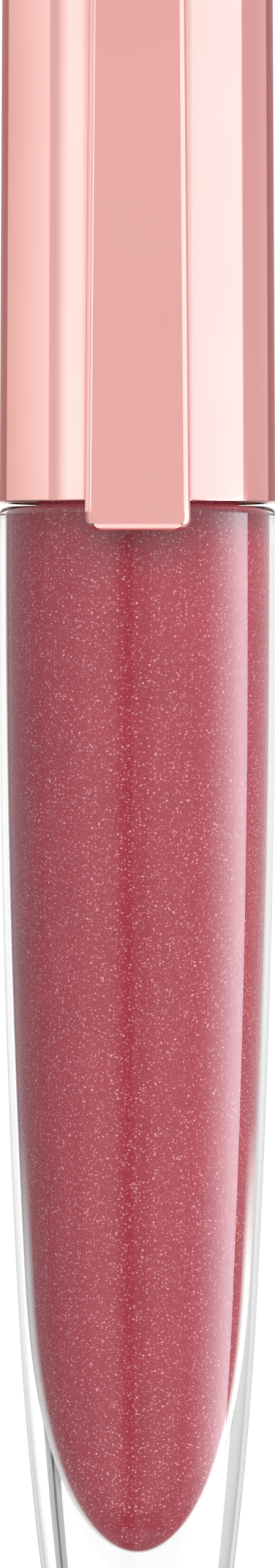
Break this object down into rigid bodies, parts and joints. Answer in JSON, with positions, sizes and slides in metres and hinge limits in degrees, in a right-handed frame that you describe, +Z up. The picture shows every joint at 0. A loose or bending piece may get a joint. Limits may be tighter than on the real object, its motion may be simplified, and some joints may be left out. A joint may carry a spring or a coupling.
{
  "type": "lip gloss tube",
  "caption": "Slim tapered clear tube of lip gloss with a screw cap in a metal shell, a flat clip down its front and a flocked wand inside.",
  "frame": {"origin": "centre of the flat base that the tube stands on", "axes": "+Z up the tube's axis towards the cap; -Y is the front, where the clip's flat face looks; +X is the viewer's right"},
  "size_m": [0.018, 0.0189, 0.1223],
  "materials": {
    "clear_plastic": "polished clear plastic, thick wall",
    "gloss": "rose lip gloss with fine shimmer",
    "wiper_plastic": "soft natural polyethylene",
    "liner": "soft pale foam liner",
    "inner_plastic": "moulded plastic tinted like the shell",
    "shell_metal": "bright anodised rose gold",
    "clip_metal": "satin bright rose gold, bare where a name would be",
    "stem_plastic": "moulded plastic",
    "flock": "short dense flock, stained by the gloss"
  },
  "bodies": {
    "bottle": {"bottle": "clear_plastic", "gloss_fill": "gloss", "wiper": "wiper_plastic"},
    "cap_seal": {"seal_ring": "liner"},
    "cap": {"cap_shell": "shell_metal", "inner_cap": "inner_plastic", "clip": "clip_metal", "wand_rod": "stem_plastic", "applicator": "flock"}
  },
  "joints": [
    {"name": "cap_lift", "type": "slide", "parent": "bottle", "child": "cap_seal", "axis": [0, 0, 1], "range_m": [0, 0.0751]},
    {"name": "cap_turn", "type": "hinge", "parent": "cap_seal", "child": "cap", "pos_m": [0, 0, 0.0866], "axis": [0, 0, 1], "range_deg": [0, 5400]}
  ],
  "couplings": [
    {"joint": "cap_lift", "follows": "cap_turn", "m_per_rad": 0.00079577}
  ]
}
